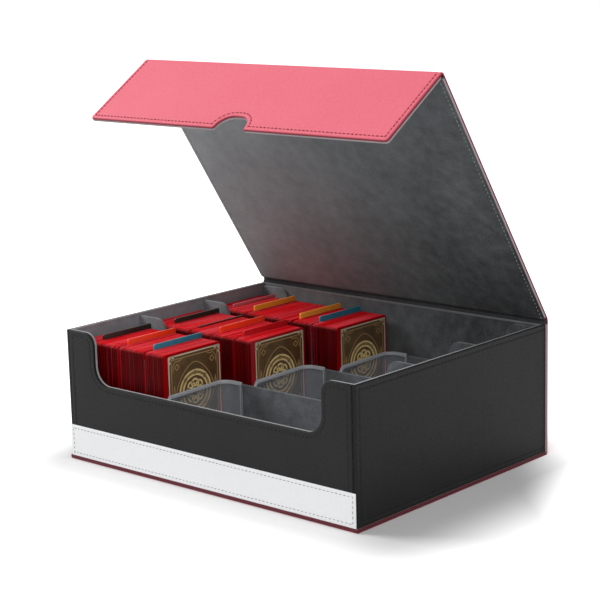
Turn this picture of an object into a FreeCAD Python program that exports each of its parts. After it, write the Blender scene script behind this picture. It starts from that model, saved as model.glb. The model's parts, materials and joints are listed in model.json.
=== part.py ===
"""Flip-top storage box for sleeved trading cards, in millimetres, +Z up.

A cover of leather-covered boards (base, back, lid and flap) is folded round a tray with three
rows.  X runs along the rows, Y from the front to the hinge, Z up from the surface it stands on.
The origin is the centre of the underside.  The lid is modelled open, as it stands in use.
"""
import FreeCAD, Part
import math
import os
import Sketcher

# ---------------------------------------------------------------- driving dimensions

SIZES = (
    ("tray_width", 304, "outside width of the tray, along its rows"),
    ("card_wide", 66, "width of a sleeved card"),
    ("card_tall", 91.5, "height of a sleeved card"),
    ("card_corner", 3, "corner radius of a card"),
    ("row_slack", 7.3, "how much wider a row is than a card"),
    ("headroom", 10, "top of the cards to the rim"),
    ("wall_board", 2.4, "thickness of the tray's boards"),
    ("cover_board", 2.4, "thickness of the cover's boards"),
    ("leather", 0.8, "thickness of the imitation leather"),
    ("suede", 0.8, "thickness of the suede lining"),
    ("cover_lip", 1, "how far the cover stands out past the tray"),
    ("partition_board", 1.4, "thickness of the board in a partition"),
    ("front_dip", 41.5, "rim to the low edge of the front wall"),
    ("front_end", 32, "width of the front wall's raised ends"),
    ("partition_drop", 2, "rim to the top of a partition's tabs"),
    ("partition_dip", 42, "top of a partition's tabs to its low edge"),
    ("partition_tab", 30, "width of a partition's tabs"),
    ("round_high", 10, "radius at the top corners of a dip"),
    ("round_low", 15, "radius at the bottom corners of a dip"),
    ("band_tall", 26, "height of the band along the foot of the front"),
    ("band_thick", 0.6, "thickness of the band"),
    ("edge_round", 0.6, "rounding of a leather-covered edge"),
    ("lid_open", 56.7, "angle of the lid above its closed place, degrees"),
    ("lid_clear", 0.5, "closed lid to the rim"),
    ("hinge_gap", 4, "board edge to the hinge line at the back"),
    ("crease_gap", 5, "board edge to the fold line of the flap"),
    ("flap_clear", 4, "closed flap to the front of the tray"),
    ("flap_long", 78, "fold line to the flap's free edge"),
    ("flap_corner", 3, "corner radius of the flap"),
    ("notch_wide", 34, "width of the finger notch"),
    ("notch_deep", 16, "depth of the finger notch"),
    ("notch_round", 12, "radius at the notch's upper corners"),
    ("notch_mouth", 3, "rounding at the notch's mouth"),
    ("magnet_across", 12, "diameter of a magnet"),
    ("magnet_thick", 2, "thickness of a magnet"),
    ("magnet_drop", 62, "fold line to the magnets' centres"),
    ("magnet_apart", 150, "distance between the two magnets"),
    ("stack_start", 1.2, "left lining to the first card"),
    ("stack_front", 95, "length of the front row's stack"),
    ("stack_middle", 117, "length of the middle row's stack"),
    ("stack_back", 142.5, "length of the back row's stack"),
    ("stack_gap", 1, "stack to the partition behind it"),
    ("sleeve_side", 1.5, "sleeve's edge to the bare card in it, at its sides and foot"),
    ("sleeve_head", 2, "sleeve's edge to the bare card in it, at its head"),
    ("face_thick", 0.6, "thickness of the bare card in its clear sleeve"),
    ("loose", 0.3, "clearance round a piece that lifts or slides"),
    ("divider_thick", 1.5, "thickness of an index divider"),
    ("divider_rise", 4, "height of a divider's tab above the cards"),
    ("divider_inset", 4, "card edge to the end of a divider's tab"),
    ("divider_round", 6, "radius at a divider's shoulder"),
    ("tab_round", 1.4, "radius at the ends of a divider's tab"),
    ("front_black_at", 16, "left lining to the middle of this divider"),
    ("front_orange_at", 45, "the same for this one"),
    ("front_blue_at", 75, "the same for this one"),
    ("middle_black_at", 21, "the same for this one"),
    ("middle_dark_at", 49, "the same for this one"),
    ("middle_orange_at", 74, "the same for this one"),
    ("middle_red_at", 100, "the same for this one"),
    ("back_clear_at", 16, "the same for this one"),
    ("back_amber_at", 41, "the same for this one"),
    ("back_yellow_at", 94, "the same for this one"),
    ("back_blue_at", 116, "the same for this one"),
    ("stop_tall", 60, "height of a card stop"),
    ("stop_thick", 2.2, "thickness of a card stop"),
    ("stop_bend", 10, "outside radius of a stop's bends"),
    ("stop_wing", 20, "length of a stop along the row, bends and wings"),
    ("wing_tall", 27.5, "height of a stop's side wings"),
    ("wing_round", 8, "radius at a wing's free lower corner"),
    ("stop_side", 0.5, "stop to the partition beside it"),
    ("stop_lead", 1, "face card to the stop in front of it"),
)

# each row's dividers, and the share of the full rise that a tab stands above the cards
DIVIDERS = {
    "front": {"black": 1, "orange": 1, "blue": 1},
    "middle": {"black": 1, "dark": 0.3, "orange": 1, "red": 1},
    "back": {"clear": 0.6, "amber": 1, "yellow": 1, "blue": 1},
}

doc = FreeCAD.newDocument("card_box")
sheet = doc.addObject("Spreadsheet::Sheet", "sizes")
for line, (alias, value, note) in enumerate(SIZES, start=1):
    sheet.set(f"A{line}", note)
    sheet.set(f"B{line}", str(value))
    sheet.setAlias(f"B{line}", alias)
doc.recompute()


class Size:
    """A length or an angle that knows its value and the expression that gives it."""

    def __init__(self, value, text):
        self.value = float(value)
        self.text = text

    def __add__(self, other):
        other = as_size(other)
        return Size(self.value + other.value, f"({self.text} + {other.text})")

    def __sub__(self, other):
        other = as_size(other)
        return Size(self.value - other.value, f"({self.text} - {other.text})")

    def __mul__(self, other):
        other = as_size(other)
        return Size(self.value * other.value, f"({self.text} * {other.text})")

    def __truediv__(self, other):
        other = as_size(other)
        return Size(self.value / other.value, f"({self.text} / {other.text})")

    def __neg__(self):
        return Size(-self.value, f"(0 - {self.text})")

    def __rsub__(self, other):
        return as_size(other) - self


def as_size(number):
    return number if isinstance(number, Size) else Size(number, repr(number))


def cell(alias):
    return Size(sheet.get(alias), f"sizes.{alias}")


def tangent(angle):
    return Size(math.tan(math.radians(angle.value)), f"tan({angle.text})")


zero = as_size(0)
leather, suede = cell("leather"), cell("suede")
wall_board, cover_board = cell("wall_board"), cell("cover_board")
lip, loose = cell("cover_lip"), cell("loose")

# heights, from the surface the box stands on
tray_foot = leather + cover_board
floor_top = tray_foot + wall_board
stand = floor_top + suede
card_foot = stand + loose
card_top = card_foot + cell("card_tall")
rim = card_top + cell("headroom")

# depths, from the front face of the tray
front_wall = leather + wall_board + suede
back_wall = suede + wall_board
partition = cell("partition_board") + suede * 2
row = cell("card_wide") + cell("row_slack")
tray_depth = front_wall + (row + partition) * 3 + back_wall
cover_depth = tray_depth + cover_board + leather
ROW_START = {
    "front": front_wall,
    "middle": front_wall + row + partition,
    "back": front_wall + (row + partition) * 2,
}

# widths, from the middle of the tray
half = cell("tray_width") / 2
half_inside = half - front_wall
half_cover = half + lip
left_inside = -half_inside

# the hinge line of the lid and the fold line of the flap, both in the leather's middle
skin = cover_board + suede
hinge_y = tray_depth + cover_board + leather / 2
hinge_z = rim + cell("lid_clear") + skin + leather / 2
lid_long = hinge_y + cell("flap_clear") + skin + leather / 2
hinge_gap, crease_gap = cell("hinge_gap"), cell("crease_gap")
lid_open = cell("lid_open")

front_y = lip - (lip + cover_depth) / 2


# ---------------------------------------------------------------- how a piece is made

def bind(thing, path, size):
    thing.setExpression(path, size.text)


def place(thing, tilted):
    """Put a piece in the tray's frame, or in the lid's, which turns about the hinge line."""
    turn = FreeCAD.Rotation(FreeCAD.Vector(1, 0, 0), -lid_open.value if tilted else 0)
    origin = (zero, front_y + hinge_y, hinge_z) if tilted else (zero, front_y, zero)
    spot = FreeCAD.Vector(*(size.value for size in origin))
    thing.Placement = FreeCAD.Placement(spot, turn)
    for letter, size in zip("xyz", origin):
        bind(thing, f"Placement.Base.{letter}", size)


def origin_plane(body, role):
    return next(part for part in body.Origin.OriginFeatures if part.Role == role)


def draw(body, name, plane, level, corners):
    """A closed outline on one of the body's planes.  Each corner is (across, up, radius or 0)."""
    sketch = body.newObject("Sketcher::SketchObject", name)
    sketch.AttachmentSupport = [(origin_plane(body, f"{plane}_Plane"), "")]
    sketch.MapMode = "FlatFace"
    height = -level if plane == "XZ" else level
    sketch.AttachmentOffset = FreeCAD.Placement(
        FreeCAD.Vector(0, 0, height.value), FreeCAD.Rotation()
    )
    bind(sketch, "AttachmentOffset.Base.z", height)
    spots = [FreeCAD.Vector(as_size(a).value, as_size(b).value, 0) for a, b, _ in corners]
    cuts = [tangent_length(spots, n, as_size(c[2]).value) for n, c in enumerate(corners)]
    count = len(corners)
    sides = []
    for n in range(count):
        here, there = spots[n], spots[(n + 1) % count]
        along = (there - here).normalize()
        start = here + along * cuts[n]
        finish = there - along * cuts[(n + 1) % count]
        sides.append(sketch.addGeometry(Part.LineSegment(start, finish), False))
    for n, (across, up, radius) in enumerate(corners):
        before, after = sides[n - 1], sides[n]
        if not cuts[n]:
            sketch.addConstraint(Sketcher.Constraint("Coincident", before, 2, after, 1))
            pin_down(sketch, after, 1, across, up)
            continue
        arc = sketch.addGeometry(corner_arc(spots, n, cuts[n], radius.value), False)
        ends = (1, 2) if touches(sketch, arc, 1, before, 2) else (2, 1)
        sketch.addConstraint(Sketcher.Constraint("Tangent", before, 2, arc, ends[0]))
        sketch.addConstraint(Sketcher.Constraint("Tangent", after, 1, arc, ends[1]))
        number = sketch.addConstraint(Sketcher.Constraint("Radius", arc, radius.value))
        bind(sketch, f"Constraints[{number}]", radius)
        point = sketch.addGeometry(Part.Point(spots[n]), True)
        sketch.addConstraint(Sketcher.Constraint("PointOnObject", point, 1, before))
        sketch.addConstraint(Sketcher.Constraint("PointOnObject", point, 1, after))
        pin_down(sketch, point, 1, across, up)
    return sketch


def tangent_length(spots, n, radius):
    """How far from a corner its rounding starts."""
    if not radius:
        return 0
    back = spots[n - 1] - spots[n]
    ahead = spots[(n + 1) % len(spots)] - spots[n]
    return radius / math.tan(back.getAngle(ahead) / 2)


def corner_arc(spots, n, cut, radius):
    here = spots[n]
    back = (spots[n - 1] - here).normalize()
    ahead = (spots[(n + 1) % len(spots)] - here).normalize()
    inward = (back + ahead).normalize()
    middle = here + inward * (math.hypot(cut, radius) - radius)
    return Part.Arc(here + back * cut, middle, here + ahead * cut)


def touches(sketch, first, first_end, second, second_end):
    gap = sketch.getPoint(first, first_end) - sketch.getPoint(second, second_end)
    return gap.Length < 1e-6


def pin_down(sketch, geometry, end, across, up):
    """Fix a point of the outline at its distance from the sketch's origin."""
    for kind, size in (("DistanceX", as_size(across)), ("DistanceY", as_size(up))):
        rule = Sketcher.Constraint(kind, -1, 1, geometry, end, size.value)
        number = sketch.addConstraint(rule)
        bind(sketch, f"Constraints[{number}]", size)


def pad(body, sketch, plane, length):
    """Thicken an outline towards +X, +Y or +Z."""
    feature = body.newObject("PartDesign::Pad", f"{body.Name}_pad")
    feature.Profile = sketch
    feature.Reversed = plane == "XZ"
    bind(feature, "Length", length)
    return feature


def plate(label, plane, level, thickness, corners, tilted=False):
    """A piece of one thickness: an outline at a level, thickened towards the plane's + side."""
    body = doc.addObject("PartDesign::Body", label)
    pad(body, draw(body, f"{label}_outline", plane, level, corners), plane, thickness)
    place(body, tilted)
    return body


def rectangle(low_a, high_a, low_b, high_b):
    return [(low_a, low_b, 0), (high_a, low_b, 0), (high_a, high_b, 0), (low_a, high_b, 0)]


def soften(body, radius, wanted):
    """Round the edges of a body's last feature that wanted() picks."""
    doc.recompute()
    sharp = body.Tip
    names = [f"Edge{n}" for n, edge in enumerate(sharp.Shape.Edges, start=1) if wanted(edge)]
    fillet = body.newObject("PartDesign::Fillet", f"{body.Name}_rounding")
    fillet.Base = (sharp, names)
    bind(fillet, "Radius", radius)


def in_plane(axis, level):
    """Picks the edges that lie whole in a plane across X, Y or Z of the piece's own frame."""
    def wanted(edge):
        box = edge.BoundBox
        low, high = getattr(box, f"{axis}Min"), getattr(box, f"{axis}Max")
        return abs(low - level.value) < 1e-3 and abs(high - level.value) < 1e-3
    return wanted


def minus(label, base, tool):
    """What is left of one piece once another is taken out of it."""
    cut = doc.addObject("Part::Cut", label)
    cut.Base, cut.Tool = base, tool
    return cut


def group(label, pieces):
    """Like pieces that share one node."""
    together = doc.addObject("Part::Compound", label)
    together.Links = pieces
    return together


def fold(label, level, middle, thickness, axis_y, half_width, angle, downward, tilted):
    """A strip bent to an arc about a line along X: a leather or suede hinge."""
    body = doc.addObject("PartDesign::Body", label)
    low, high = middle - thickness / 2, middle + thickness / 2
    outline = rectangle(-half_width, half_width, low, high)
    sketch = draw(body, f"{label}_outline", "XY", level, outline)
    ends = [FreeCAD.Vector(side * half_width.value, axis_y.value, 0) for side in (-1, 1)]
    axis = sketch.addGeometry(Part.LineSegment(*ends), True)
    pin_down(sketch, axis, 1, -half_width, axis_y)
    pin_down(sketch, axis, 2, half_width, axis_y)
    turn = body.newObject("PartDesign::Revolution", f"{label}_bend")
    turn.Profile = sketch
    turn.ReferenceAxis = (sketch, ["Axis0"])
    turn.Reversed = downward
    bind(turn, "Angle", angle)
    place(body, tilted)
    return body


def dipped(span, high, end, dip):
    """The upper edge of a wall with a wide dip, from its right end to its left."""
    high_round, low_round = cell("round_high"), cell("round_low")
    return [
        (span, high, 0),
        (span - end, high, high_round),
        (span - end, high - dip, low_round),
        (end - span, high - dip, low_round),
        (end - span, high, high_round),
        (-span, high, 0),
    ]


def dipped_wall(span, low, high, end, dip):
    return [(-span, low, 0), (span, low, 0)] + dipped(span, high, end, dip)


# ---------------------------------------------------------------- the cover's fixed part

def make_cover():
    """Base and back: boards in one leather wrap, the tray glued to their inner faces."""
    half_board = half_cover - leather
    base_board = plate(
        "base_board", "XY", leather, cover_board,
        rectangle(-half_board, half_board, leather - lip, tray_depth),
    )
    back_top = hinge_z - hinge_gap
    back_board = plate(
        "back_board", "XZ", tray_depth, cover_board,
        rectangle(-half_board, half_board, leather, back_top),
    )
    base_block = plate(
        "base_block", "XY", zero, tray_foot,
        rectangle(-half_cover, half_cover, -lip, cover_depth - leather),
    )
    soften(base_block, cell("edge_round"), base_edges)
    base_room = plate(
        "base_room", "XY", leather, cover_board,
        rectangle(-half_board, half_board, leather - lip, cover_depth - leather),
    )
    back_block = plate(
        "back_block", "XZ", tray_depth, cover_board + leather,
        rectangle(-half_cover, half_cover, tray_foot, back_top),
    )
    soften(back_block, cell("edge_round"), back_edges)
    back_foot = plate(
        "back_foot", "XZ", tray_depth + cover_board, leather,
        rectangle(-half_cover, half_cover, zero, tray_foot),
    )
    back_wrap = minus("back_wrap", back_block, back_board)
    back_leather = doc.addObject("Part::Fuse", "back_leather")
    back_leather.Base, back_leather.Tool = back_wrap, back_foot
    return [base_board, back_board, minus("base_leather", base_block, base_room), back_leather]


def base_edges(edge):
    """The lower edges of the base's front and sides, and the two front corners."""
    box = edge.BoundBox
    front = abs(box.YMax + lip.value) < 1e-3
    side = abs(abs(box.XMin) - half_cover.value) < 1e-3 and box.XLength < 1e-3
    low = box.ZMax < 1e-3
    return (front and low) or (side and low) or (front and side)


def back_edges(edge):
    """The upright outer edges of the back."""
    box = edge.BoundBox
    outer = abs(box.YMin - cover_depth.value) < 1e-3
    return outer and box.XLength < 1e-3


# ---------------------------------------------------------------- the tray

def make_tray():
    """Five boards, black leather outside and suede inside; the suede turns over the rim."""
    board_top = rim - suede
    half_board = half - leather
    behind = tray_depth - wall_board
    front_end, dip = cell("front_end"), cell("front_dip")

    # the front wall's outline in board is the leather's, one suede thickness in from its edge
    shrunk = [
        (half_board, board_top, 0),
        (half - front_end + suede, board_top, cell("round_high") - suede),
        (half - front_end + suede, rim - dip - suede, cell("round_low") + suede),
        (front_end - half - suede, rim - dip - suede, cell("round_low") + suede),
        (front_end - half - suede, board_top, cell("round_high") - suede),
        (-half_board, board_top, 0),
    ]
    sill = [(-half_board, tray_foot, 0), (half_board, tray_foot, 0)]
    front_panel = plate("front_panel", "XZ", leather, wall_board, sill + shrunk)
    tray_front = minus("tray_front", front_panel, front_magnet_seats())

    front_leather = plate(
        "front_leather", "XZ", zero, leather, dipped_wall(half, tray_foot, rim, front_end, dip)
    )
    soften(front_leather, cell("edge_round"), upright_ends)

    # the rim strip over the front board, then the lining behind it, as one folded sheet
    front_suede = plate(
        "front_suede", "XZ", leather, wall_board,
        dipped(half_board, rim, front_end - leather, dip) + shrunk[::-1],
    )
    lining = draw(
        front_suede, "front_lining_outline", "XZ", front_wall - suede,
        dipped_wall(half_inside, floor_top, rim, front_end - front_wall, dip),
    )
    front_suede.Tip = pad(front_suede, lining, "XZ", suede)

    pieces = [
        tray_front, front_leather, front_suede,
        plate(
            "tray_floor", "XY", tray_foot, wall_board,
            rectangle(-half_board + wall_board, half_board - wall_board,
                      front_wall - suede, behind),
        ),
        plate(
            "floor_suede", "XY", floor_top, suede,
            rectangle(-half_inside, half_inside, front_wall, tray_depth - back_wall),
        ),
        plate(
            "tray_back", "XZ", behind, wall_board,
            rectangle(-half_board, half_board, tray_foot, board_top),
        ),
        plate("back_suede", "YZ", -half_inside, half_inside * 2, [
            (tray_depth - back_wall, floor_top, 0), (behind, floor_top, 0),
            (behind, board_top, 0), (tray_depth, board_top, 0),
            (tray_depth, rim, 0), (tray_depth - back_wall, rim, 0),
        ]),
    ]
    for side, name in ((-1, "left"), (1, "right")):
        outer, inner = half * side, half_board * side
        lined, clear = (half_inside + suede) * side, half_inside * side
        panel = plate(
            f"{name}_leather", "YZ", min_of(outer, inner), leather,
            rectangle(leather, tray_depth, tray_foot, rim),
        )
        soften(panel, cell("edge_round"), side_edges(outer))
        pieces += [
            panel,
            plate(
                f"tray_{name}", "YZ", min_of(inner, lined), wall_board,
                rectangle(front_wall - suede, behind, tray_foot, board_top),
            ),
            plate(f"{name}_suede", "XZ", front_wall - suede, behind - front_wall + suede, [
                (clear, floor_top, 0), (lined, floor_top, 0), (lined, board_top, 0),
                (inner, board_top, 0), (inner, rim, 0), (clear, rim, 0),
            ]),
        ]

    band = plate(
        "front_band", "XZ", -cell("band_thick"), cell("band_thick"),
        rectangle(-half, half, tray_foot, tray_foot + cell("band_tall")),
    )
    soften(band, cell("band_thick") / 2, in_plane("Y", -cell("band_thick")))
    return pieces + [band]


def upright_ends(edge):
    """The front's outer edges at the two corners of the tray."""
    box = edge.BoundBox
    corner = abs(abs(box.XMin) - half.value) < 1e-3 and box.XLength < 1e-3
    return corner and box.ZLength > 1 and box.YMax < 1e-3


def min_of(first, second):
    return first if first.value < second.value else second


def side_edges(outer):
    """The upright front edge and the top edge of a side's leather."""
    def wanted(edge):
        box = edge.BoundBox
        flush = abs(box.XMin - outer.value) < 1e-3 and box.XLength < 1e-3
        front = box.YMax < leather.value + 1e-3
        top = box.ZMin > rim.value - 1e-3
        return flush and (front or top)
    return wanted


def make_partitions():
    """Three dipped boards, each in a suede wrap that is open only at its foot and ends."""
    pieces = []
    top = rim - cell("partition_drop")
    tab, dip = cell("partition_tab"), cell("partition_dip")
    for name, start in ROW_START.items():
        behind = start + row
        wrap = plate(
            f"{name}_wrap", "XZ", behind, partition,
            dipped_wall(half_inside, stand, top, tab, dip),
        )
        board = plate(f"{name}_partition_board", "XZ", behind + suede, cell("partition_board"), [
            (-half_inside, stand, 0),
            (half_inside, stand, 0),
            (half_inside, top - suede, 0),
            (half_inside - tab + suede, top - suede, cell("round_high") - suede),
            (half_inside - tab + suede, top - dip - suede, cell("round_low") + suede),
            (tab - half_inside - suede, top - dip - suede, cell("round_low") + suede),
            (tab - half_inside - suede, top - suede, cell("round_high") - suede),
            (-half_inside, top - suede, 0),
        ])
        pieces += [board, minus(f"{name}_partition_suede", wrap, board)]
    return pieces


# ---------------------------------------------------------------- magnets

def magnet_pair(label, plane, level, height, tilted=False):
    """Two round discs, a side each of the middle."""
    discs = []
    for side in (-1, 1):
        disc = doc.addObject("PartDesign::Body", f"{label}_{'left' if side < 0 else 'right'}")
        sketch = disc.newObject("Sketcher::SketchObject", f"{disc.Name}_outline")
        sketch.AttachmentSupport = [(origin_plane(disc, f"{plane}_Plane"), "")]
        sketch.MapMode = "FlatFace"
        sketch.AttachmentOffset = FreeCAD.Placement(
            FreeCAD.Vector(0, 0, -level.value), FreeCAD.Rotation()
        )
        bind(sketch, "AttachmentOffset.Base.z", -level)
        across = cell("magnet_apart") * (side / 2)
        centre = FreeCAD.Vector(across.value, height.value, 0)
        radius = cell("magnet_across") / 2
        circle = Part.Circle(centre, FreeCAD.Vector(0, 0, 1), radius.value)
        ring = sketch.addGeometry(circle, False)
        number = sketch.addConstraint(Sketcher.Constraint("Radius", ring, radius.value))
        bind(sketch, f"Constraints[{number}]", radius)
        pin_down(sketch, ring, 3, across, height)
        pad(disc, sketch, plane, cell("magnet_thick"))
        place(disc, tilted)
        discs.append(disc)
    return group(label, discs)


def front_magnet_seats():
    """The front board's discs, which meet the flap's when the lid is shut."""
    return magnet_pair("front_magnets", "XZ", leather, hinge_z - cell("magnet_drop"))


# ---------------------------------------------------------------- the lid and its flap

def make_lid():
    """The lid in its own frame: the hinge line is its origin and it reaches towards -Y."""
    board_low = -leather / 2 - cover_board
    near, far = -hinge_gap, crease_gap - lid_long
    half_board = half_cover - leather
    lid_board = plate(
        "lid_board", "XY", board_low, cover_board,
        rectangle(-half_board, half_board, far, near), tilted=True,
    )
    wrap = plate(
        "lid_wrap", "XY", board_low, cover_board + leather,
        rectangle(-half_cover, half_cover, far, near), tilted=True,
    )
    soften(wrap, cell("edge_round"), long_edges(leather / 2))
    lid_suede = plate(
        "lid_suede", "XY", board_low - suede, suede,
        rectangle(-half_board, half_board, far, near), tilted=True,
    )
    return [lid_board, minus("lid_leather", wrap, lid_board), lid_suede]


def long_edges(top):
    """The two outer edges of the lid that run from the hinge to the fold."""
    def wanted(edge):
        box = edge.BoundBox
        return box.YLength > 1 and abs(box.ZMin - top.value) < 1e-3 and box.ZLength < 1e-3
    return wanted


def flap_outline(inset):
    """The flap seen from in front; its notch is drawn in by the inset, as its edges are."""
    side, foot = half_cover - inset, inset - cell("flap_long")
    corner, mouth = cell("flap_corner") - inset, cell("notch_mouth") - inset
    notch, roof = cell("notch_wide") / 2 + inset, foot + cell("notch_deep")
    arch = cell("notch_round") + inset
    return [
        (-side, -crease_gap, 0),
        (-side, foot, corner),
        (-notch, foot, mouth),
        (-notch, roof, arch),
        (notch, roof, arch),
        (notch, foot, mouth),
        (side, foot, corner),
        (side, -crease_gap, 0),
    ]


def make_flap():
    """The flap hangs square from the fold line, at the far end of the lid's frame."""
    outer = -lid_long - leather / 2
    panel = plate(
        "flap_panel", "XZ", outer + leather, cover_board, flap_outline(leather), tilted=True,
    )
    magnets = magnet_pair(
        "flap_magnets", "XZ", outer + leather + cover_board - cell("magnet_thick"),
        -cell("magnet_drop"), tilted=True,
    )
    wrap = plate(
        "flap_wrap", "XZ", outer, leather + cover_board, flap_outline(zero), tilted=True,
    )
    soften(wrap, cell("edge_round"), flap_edges(outer))
    flap_suede = plate(
        "flap_suede", "XZ", outer + leather + cover_board, suede, flap_outline(leather),
        tilted=True,
    )
    flap_board = minus("flap_board", panel, magnets)
    return [flap_board, minus("flap_leather", wrap, panel), flap_suede, magnets]


def flap_edges(outer):
    """The outer edges of the flap, all but the one along the fold."""
    flat = in_plane("Y", outer)
    return lambda edge: flat(edge) and edge.BoundBox.ZMin < -crease_gap.value - 1e-3


def make_hinges():
    """Leather outside and suede inside; no board in between, so the cover folds there."""
    turn = 90 - lid_open
    bend = hinge_gap / tangent(turn / 2)
    level = hinge_z - hinge_gap
    inner_back = hinge_y - cover_board - (leather + suede) / 2
    inner_fold = cover_board + (leather + suede) / 2
    axis = crease_gap - lid_long
    square = as_size(90)
    return [
        fold("back_hinge_leather", level, hinge_y, leather, hinge_y - bend, half_cover, turn,
             False, False),
        fold("back_hinge_suede", level, inner_back, suede, hinge_y - bend, half_cover - leather,
             turn, False, False),
        fold("flap_hinge_leather", -crease_gap, -lid_long, leather, axis, half_cover, square,
             True, True),
        fold("flap_hinge_suede", -crease_gap, inner_fold - lid_long, suede, axis,
             half_cover - leather, square, True, True),
    ]


# ---------------------------------------------------------------- stops, cards and dividers

def stack_end(name):
    return left_inside + cell("stack_start") + cell(f"stack_{name}")


def make_stop(name):
    """A clear U of sheet plastic: a plate across the row and two short wings along its sides."""
    start = stack_end(name) + cell("face_thick") + cell("stop_lead")
    near = ROW_START[name] + cell("stop_side")
    far = ROW_START[name] + row - cell("stop_side")
    thick, bend = cell("stop_thick"), cell("stop_bend")
    tip = start + cell("stop_wing")
    body = plate(f"{name}_stop", "XY", card_foot, cell("stop_tall"), [
        (tip, near, 0),
        (tip, near + thick, 0),
        (start + thick, near + thick, bend - thick),
        (start + thick, far - thick, bend - thick),
        (tip, far - thick, 0),
        (tip, far, 0),
        (start, far, bend),
        (start, near, bend),
    ])
    top = card_foot + cell("stop_tall")
    low = top - cell("wing_tall")
    corner = cell("wing_round")
    beyond = tip + thick
    below = card_foot - thick
    away = draw(body, f"{name}_under_wings", "XZ", near - thick, [
        (start + bend, below, 0),
        (beyond, below, 0),
        (beyond, low + corner * 2, 0),
        (tip, low + corner * 2, 0),
        (tip, low, corner),
        (start + bend, low, corner / 2),
    ])
    pocket = body.newObject("PartDesign::Pocket", f"{name}_stop_cut")
    pocket.Profile = away
    pocket.Reversed = True
    bind(pocket, "Length", row + thick * 2)
    return body


def make_row(name):
    """A row's stack of cards, the bare card in front of it, and its dividers."""
    far = ROW_START[name] + row - cell("stack_gap")
    near = far - cell("card_wide")
    corner = cell("card_corner")
    start = left_inside + cell("stack_start")
    block = plate(f"{name}_block", "YZ", start, cell(f"stack_{name}"), [
        (near, card_foot, corner), (far, card_foot, corner),
        (far, card_top, corner), (near, card_top, corner),
    ])
    slots, dividers = [], []
    thick, margin = cell("divider_thick"), cell("face_thick")
    inset, shoulder = cell("divider_inset"), cell("divider_round")
    for colour, share in DIVIDERS[name].items():
        low = left_inside + cell(f"{name}_{colour}_at") - thick / 2
        slots.append(plate(
            f"{name}_{colour}_slot", "YZ", low - loose, thick + loose * 2,
            rectangle(near - margin, far + margin, card_foot - margin, card_top + margin),
        ))
        tab_top = card_top + cell("divider_rise") * share
        tab = cell("tab_round") if share == 1 else cell("tab_round") / 2
        dividers.append(plate(f"{name}_divider_{colour}", "YZ", low, thick, [
            (near, card_foot, 0),
            (far, card_foot, 0),
            (far, card_top - shoulder, shoulder / 2),
            (far - inset, card_top - shoulder / 2, 0),
            (far - inset, tab_top, tab),
            (near + inset, tab_top, tab),
            (near + inset, card_top - shoulder / 2, 0),
            (near, card_top - shoulder, shoulder / 2),
        ]))
    cards = minus(f"{name}_cards", block, group(f"{name}_slots", slots))
    side = cell("sleeve_side")
    face_wide = cell("card_wide") - side * 2
    face_tall = cell("card_tall") - side - cell("sleeve_head")
    face_side, face_foot = near + side, card_foot + side
    face = plate(f"{name}_face_card", "YZ", stack_end(name), cell("face_thick"), [
        (face_side, face_foot, corner), (face_side + face_wide, face_foot, corner),
        (face_side + face_wide, face_foot + face_tall, corner),
        (face_side, face_foot + face_tall, corner),
    ])
    return [cards, face] + dividers


# ---------------------------------------------------------------- build, check and write

pieces = make_cover() + make_tray() + make_partitions() + make_lid() + make_flap() + make_hinges()
for row_name in ROW_START:
    pieces.append(make_stop(row_name))
    pieces += make_row(row_name)
pieces.append(doc.getObject("front_magnets"))
doc.recompute()

for thing in doc.Objects:
    if "Invalid" in thing.State or "Error" in thing.State:
        raise RuntimeError(f"{thing.Label} could not be built: {thing.State}")

os.makedirs("parts", exist_ok=True)
for piece in pieces:
    if piece.Shape.isNull() or not piece.Shape.isValid() or not piece.Shape.Solids:
        raise RuntimeError(f"{piece.Label} has no valid solid")
for piece in pieces:
    piece.Shape.exportStep(f"parts/{piece.Label}.step")
print(len(pieces), "nodes written")
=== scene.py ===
import json
import math

import bmesh
import bpy
from mathutils import Matrix, Vector


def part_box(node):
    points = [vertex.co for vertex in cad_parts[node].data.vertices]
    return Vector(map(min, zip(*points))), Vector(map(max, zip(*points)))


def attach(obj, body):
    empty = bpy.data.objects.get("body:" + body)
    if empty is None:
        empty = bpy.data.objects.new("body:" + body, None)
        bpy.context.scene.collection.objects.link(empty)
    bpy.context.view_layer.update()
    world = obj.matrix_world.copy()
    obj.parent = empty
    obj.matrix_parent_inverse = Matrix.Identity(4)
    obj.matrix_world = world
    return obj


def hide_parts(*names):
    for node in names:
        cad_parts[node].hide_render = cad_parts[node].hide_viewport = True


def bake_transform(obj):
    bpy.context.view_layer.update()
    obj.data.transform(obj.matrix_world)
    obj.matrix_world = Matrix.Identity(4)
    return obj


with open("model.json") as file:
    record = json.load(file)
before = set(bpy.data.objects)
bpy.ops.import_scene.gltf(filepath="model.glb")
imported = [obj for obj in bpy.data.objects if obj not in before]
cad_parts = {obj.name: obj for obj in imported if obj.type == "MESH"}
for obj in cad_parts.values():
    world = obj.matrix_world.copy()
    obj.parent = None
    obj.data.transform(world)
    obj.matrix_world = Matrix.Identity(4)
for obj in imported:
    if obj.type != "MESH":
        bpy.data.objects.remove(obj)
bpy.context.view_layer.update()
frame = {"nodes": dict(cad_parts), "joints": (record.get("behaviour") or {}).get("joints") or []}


# ---- Boards ----
# Grey board, pressed from waste paper and cut with a blade, is the core of the cover, the
# tray and the partitions. Leather or suede is glued over every face of it.

def linear(code):
    """An sRGB hex colour as the linear colour that a shader takes."""
    parts = [int(code[n:n + 2], 16) / 255 for n in (1, 3, 5)]
    return [c / 12.92 if c <= 0.04045 else ((c + 0.055) / 1.055) ** 2.4 for c in parts] + [1]


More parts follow.
